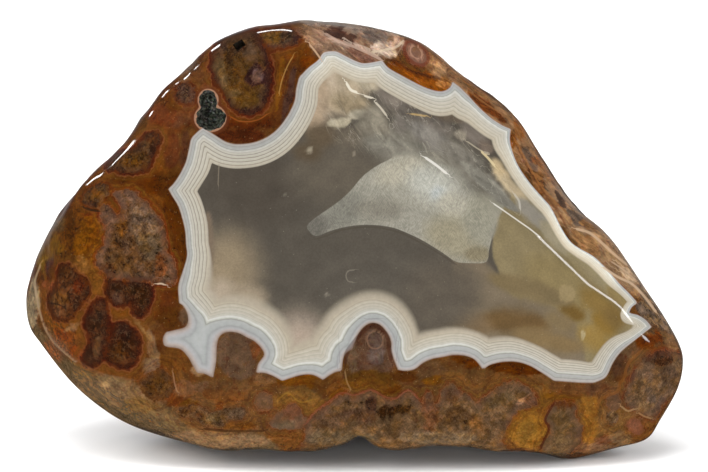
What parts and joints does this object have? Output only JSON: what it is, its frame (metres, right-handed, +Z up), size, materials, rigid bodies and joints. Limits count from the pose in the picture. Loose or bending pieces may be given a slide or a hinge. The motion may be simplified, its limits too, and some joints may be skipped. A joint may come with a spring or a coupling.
{
  "type": "agate nodule",
  "caption": "Polished agate nodule standing on its lower edge, with a brown rind, a white fortification band, a translucent grey-brown centre and a small open vug.",
  "frame": {"origin": "centre of the bounding box in plan, on the surface that the stone stands on", "axes": "+Z up, +X along the length of the stone to the viewer's right, the polished face towards -Y, leaning back 12 degrees"},
  "size_m": [0.1054, 0.0454, 0.0689],
  "materials": {
    "agate": "polished banded chalcedony: mottled brown and ochre rind, white banded rim, translucent grey-brown centre"
  },
  "bodies": {
    "root": {"agate_nodule": "agate"}
  },
  "joints": []
}
